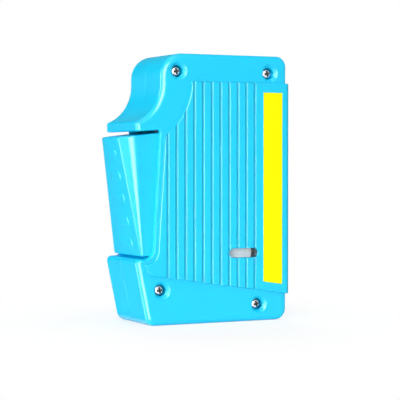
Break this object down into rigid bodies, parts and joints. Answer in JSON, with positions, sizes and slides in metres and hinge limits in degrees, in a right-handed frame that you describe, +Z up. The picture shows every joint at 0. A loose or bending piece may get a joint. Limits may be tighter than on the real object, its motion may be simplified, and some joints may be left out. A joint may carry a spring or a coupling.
{
  "type": "fibre optic cleaning cassette",
  "caption": "Hand-held fibre connector cleaner: a thumb lever lifts a shutter from the cleaning slots, and reels inside carry the cleaning tape.",
  "frame": {"origin": "middle of the foot, on the surface that the case stands on", "axes": "+Z up along the height, labelled front towards -Y, thumb lever on the -X side, cleaning opening on the +X side"},
  "size_m": [0.078, 0.036, 0.115],
  "materials": {
    "case_blue": "glossy cyan blue moulded plastic",
    "lever_blue": "glossy cyan blue moulded plastic, as the case",
    "screw_chrome": "bright plated steel",
    "label_yellow": "bare bright yellow film",
    "window_clear": "clear moulded window",
    "pin_steel": "ground steel",
    "spring_steel": "bright spring steel",
    "gear_plastic": "natural acetal",
    "pawl_plastic": "coloured acetal",
    "reel_white": "white moulded plastic",
    "tape_fabric": "lint-free woven cleaning tape",
    "felt_grey": "grey felt",
    "frame_dark": "dark moulded plastic",
    "pad_rubber": "soft black rubber",
    "shutter_grey": "light grey moulded plastic"
  },
  "bodies": {
    "case": {"front_shell": "case_blue", "rear_shell": "case_blue", "case_screws": "screw_chrome", "front_label": "label_yellow", "viewing_window": "window_clear", "lever_pivot_pin": "pin_steel", "lever_return_spring": "spring_steel", "holding_pawl_pin": "pin_steel", "holding_pawl_spring": "spring_steel", "takeup_axle": "pin_steel", "supply_axle": "pin_steel", "brake_spring": "spring_steel", "brake_felt": "felt_grey", "lower_roller_pin": "pin_steel", "upper_roller_pin": "pin_steel", "cleaning_tape": "tape_fabric", "platen_block": "frame_dark", "platen_pad": "pad_rubber", "slot_plate": "frame_dark"},
    "lever": {"thumb_lever": "lever_blue", "sector_arm": "gear_plastic"},
    "drive": {"drive_gear": "gear_plastic", "drive_pawl_spring": "spring_steel"},
    "drive_pawl": {"drive_pawl": "pawl_plastic"},
    "shutter": {"shutter": "shutter_grey"},
    "takeup": {"takeup_reel": "reel_white", "takeup_tape_roll": "tape_fabric", "ratchet_wheel": "gear_plastic"},
    "supply": {"supply_reel": "reel_white", "supply_tape_roll": "tape_fabric"},
    "lower_roller": {"lower_guide_roller": "reel_white"},
    "upper_roller": {"upper_guide_roller": "reel_white"},
    "holding_pawl": {"holding_pawl": "pawl_plastic"}
  },
  "joints": [
    {"name": "thumb_lever_press", "type": "hinge", "parent": "case", "child": "lever", "pos_m": [-0.024, 0, 0.033], "axis": [0, 1, 0], "range_deg": [0, 8], "stiffness_Nm_per_rad": 0.3, "springref_deg": -20.05, "deforming": ["lever_return_spring"]},
    {"name": "drive_gear_turn", "type": "hinge", "parent": "case", "child": "drive", "pos_m": [0.004, 0, 0.08265], "axis": [0, 1, 0], "range_deg": [-30, 0]},
    {"name": "drive_pawl_swing", "type": "hinge", "parent": "drive", "child": "drive_pawl", "pos_m": [-0.00545, 0, 0.08432], "axis": [0, -1, 0], "range_deg": [-2, 0.6], "stiffness_Nm_per_rad": 0.002},
    {"name": "shutter_lift", "type": "slide", "parent": "case", "child": "shutter", "axis": [0, 0, 1], "range_m": [0, 0.0152]},
    {"name": "takeup_spin", "type": "hinge", "parent": "case", "child": "takeup", "pos_m": [0.004, 0, 0.08265], "axis": [0, -1, 0], "continuous": true},
    {"name": "supply_spin", "type": "hinge", "parent": "case", "child": "supply", "pos_m": [0.0028, 0, 0.03], "axis": [0, -1, 0], "continuous": true},
    {"name": "lower_roller_spin", "type": "hinge", "parent": "case", "child": "lower_roller", "pos_m": [0.02545, 0, 0.0395], "axis": [0, -1, 0], "continuous": true},
    {"name": "upper_roller_spin", "type": "hinge", "parent": "case", "child": "upper_roller", "pos_m": [0.02545, 0, 0.0615], "axis": [0, -1, 0], "continuous": true},
    {"name": "holding_pawl_lift", "type": "hinge", "parent": "case", "child": "holding_pawl", "pos_m": [0.01151, 0, 0.09678], "axis": [0, 1, 0], "range_deg": [-6.5, 1], "stiffness_Nm_per_rad": 0.002}
  ],
  "couplings": [
    {"joint": "drive_gear_turn", "follows": "thumb_lever_press", "ratio": -3.75},
    {"joint": "shutter_lift", "follows": "thumb_lever_press", "m_per_rad": 0.10875},
    {"joint": "supply_spin", "follows": "takeup_spin", "ratio": 0.58974},
    {"joint": "lower_roller_spin", "follows": "takeup_spin", "ratio": 3.8333},
    {"joint": "upper_roller_spin", "follows": "takeup_spin", "ratio": 3.8333}
  ]
}
